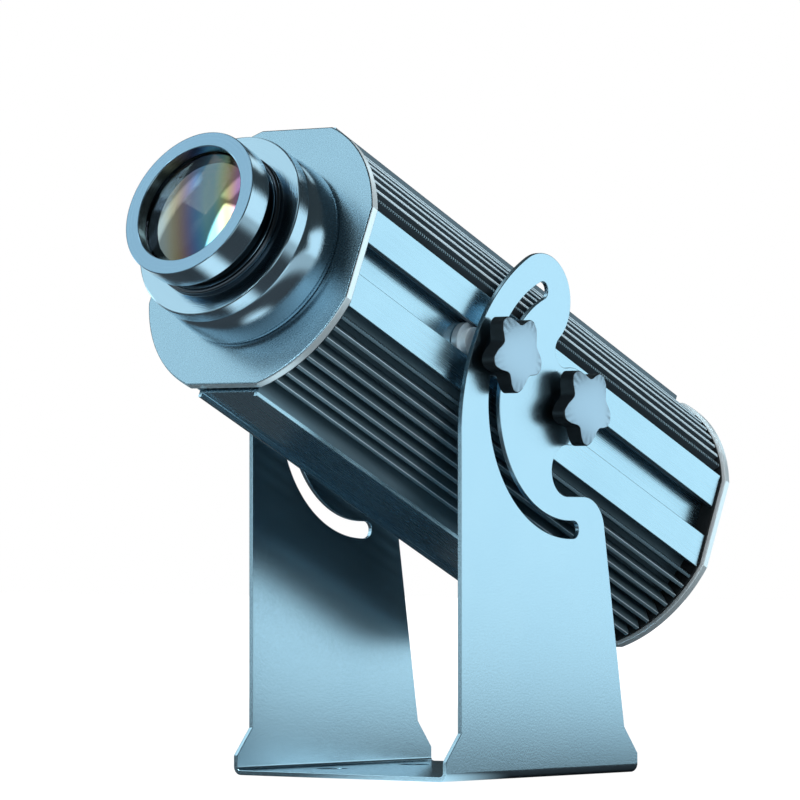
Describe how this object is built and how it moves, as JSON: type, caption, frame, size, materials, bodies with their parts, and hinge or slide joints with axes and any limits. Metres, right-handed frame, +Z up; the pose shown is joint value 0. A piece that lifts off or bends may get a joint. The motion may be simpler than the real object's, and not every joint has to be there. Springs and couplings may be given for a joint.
{
  "type": "gobo projector",
  "caption": "Outdoor image projector: a finned oval lamp head with a focusing lens, held by star knobs in a bent sheet-metal yoke, so that it tilts and locks.",
  "frame": {"origin": "centre of the underside of the yoke's base", "axes": "+Z up; the lens looks along -Y, tilted up at rest; +X runs along the tilt axis, from one arm of the yoke to the other"},
  "size_m": [0.1676, 0.3999, 0.3283],
  "materials": {
    "yoke_paint": "satin",
    "housing_metal": "anodised, satin",
    "plate_metal": "satin",
    "lens_metal": "turned and anodised",
    "steel": "plated",
    "knob_plastic": "satin face, dark sides",
    "black_plastic": "moulded",
    "seal_rubber": "matt",
    "lens_glass": "coated",
    "bare_aluminium": "bare",
    "gear_brass": "bare",
    "lamp": "phosphor",
    "driver_case": "cast"
  },
  "bodies": {
    "yoke": {"yoke": "yoke_paint"},
    "head": {"housing_extrusion": "housing_metal", "front_plate": "plate_metal", "front_seal": "seal_rubber", "rear_plate": "plate_metal", "rear_seal": "seal_rubber", "tie_rod_1": "steel", "tie_rod_2": "steel", "tie_rod_3": "steel", "tie_rod_4": "steel", "pivot_slider_right": "steel", "pivot_spacer_right": "steel", "pivot_stud_right": "steel", "pivot_slider_left": "steel", "pivot_spacer_left": "steel", "pivot_stud_left": "steel", "lock_slider_right": "steel", "lock_spacer_right": "steel", "lock_stud_right": "steel", "lock_slider_left": "steel", "lock_spacer_left": "steel", "lock_stud_left": "steel", "lens_mount": "lens_metal", "focus_ring_keeper": "lens_metal", "heat_spreader": "bare_aluminium", "led_module": "lamp", "condenser_holder": "bare_aluminium", "condenser_lens_rear": "lens_glass", "condenser_lens_front": "lens_glass", "gobo_carrier": "bare_aluminium", "gobo_motor": "steel", "driver_tray": "bare_aluminium", "led_driver": "driver_case", "fan_frame": "black_plastic", "cable_gland_body": "black_plastic", "cable_gland_cap": "black_plastic", "cable_gland_nut": "black_plastic"},
    "pivot_knob_right": {"pivot_knob_right": "knob_plastic"},
    "pivot_knob_left": {"pivot_knob_left": "knob_plastic"},
    "lock_knob_right": {"lock_knob_right": "knob_plastic"},
    "lock_knob_left": {"lock_knob_left": "knob_plastic"},
    "focus_ring": {"focus_ring": "lens_metal"},
    "lens_barrel": {"lens_barrel": "lens_metal", "front_ring": "lens_metal", "front_lens": "lens_glass", "rear_lens": "lens_glass", "lens_spacer": "lens_metal"},
    "gobo": {"gobo_ring_gear": "gear_brass", "gobo_glass": "lens_glass", "gobo_keeper_ring": "steel"},
    "pinion": {"motor_shaft": "steel", "motor_pinion": "gear_brass"},
    "fan": {"fan_rotor": "black_plastic"}
  },
  "joints": [
    {"name": "head_tilt", "type": "hinge", "parent": "yoke", "child": "head", "pos_m": [0, 0.0225, 0.1895], "axis": [-1, 0, 0], "range_deg": [-62, 43.5]},
    {"name": "pivot_knob_right_turn", "type": "hinge", "parent": "head", "child": "pivot_knob_right", "pos_m": [0.07715, 0.0225, 0.1895], "axis": [1, 0, 0], "range_deg": [0, 360]},
    {"name": "pivot_knob_left_turn", "type": "hinge", "parent": "head", "child": "pivot_knob_left", "pos_m": [-0.07715, 0.0225, 0.1895], "axis": [-1, 0, 0], "range_deg": [0, 360]},
    {"name": "lock_knob_right_turn", "type": "hinge", "parent": "head", "child": "lock_knob_right", "pos_m": [0.07715, -0.03533, 0.21549], "axis": [1, 0, 0], "range_deg": [0, 360]},
    {"name": "lock_knob_left_turn", "type": "hinge", "parent": "head", "child": "lock_knob_left", "pos_m": [-0.07715, -0.03533, 0.21549], "axis": [-1, 0, 0], "range_deg": [0, 360]},
    {"name": "focus_turn", "type": "hinge", "parent": "head", "child": "focus_ring", "pos_m": [0, -0.17269, 0.27722], "axis": [0, -0.9121, 0.4099], "range_deg": [-90, 180]},
    {"name": "focus_slide", "type": "slide", "parent": "head", "child": "lens_barrel", "axis": [0, -0.9121, 0.4099], "range_m": [-0.004, 0.008]},
    {"name": "gobo_spin", "type": "hinge", "parent": "head", "child": "gobo", "pos_m": [0, -0.10337, 0.24607], "axis": [0, -0.9121, 0.4099], "continuous": true},
    {"name": "pinion_spin", "type": "hinge", "parent": "head", "child": "pinion", "pos_m": [0, -0.088, 0.28027], "axis": [0, -0.9121, 0.4099], "continuous": true},
    {"name": "fan_spin", "type": "hinge", "parent": "head", "child": "fan", "pos_m": [0, 0.02806, 0.18481], "axis": [0, -0.9121, 0.4099], "continuous": true}
  ],
  "couplings": [
    {"joint": "focus_slide", "follows": "focus_turn", "m_per_rad": 0.002546},
    {"joint": "pinion_spin", "follows": "gobo_spin", "ratio": -4}
  ]
}
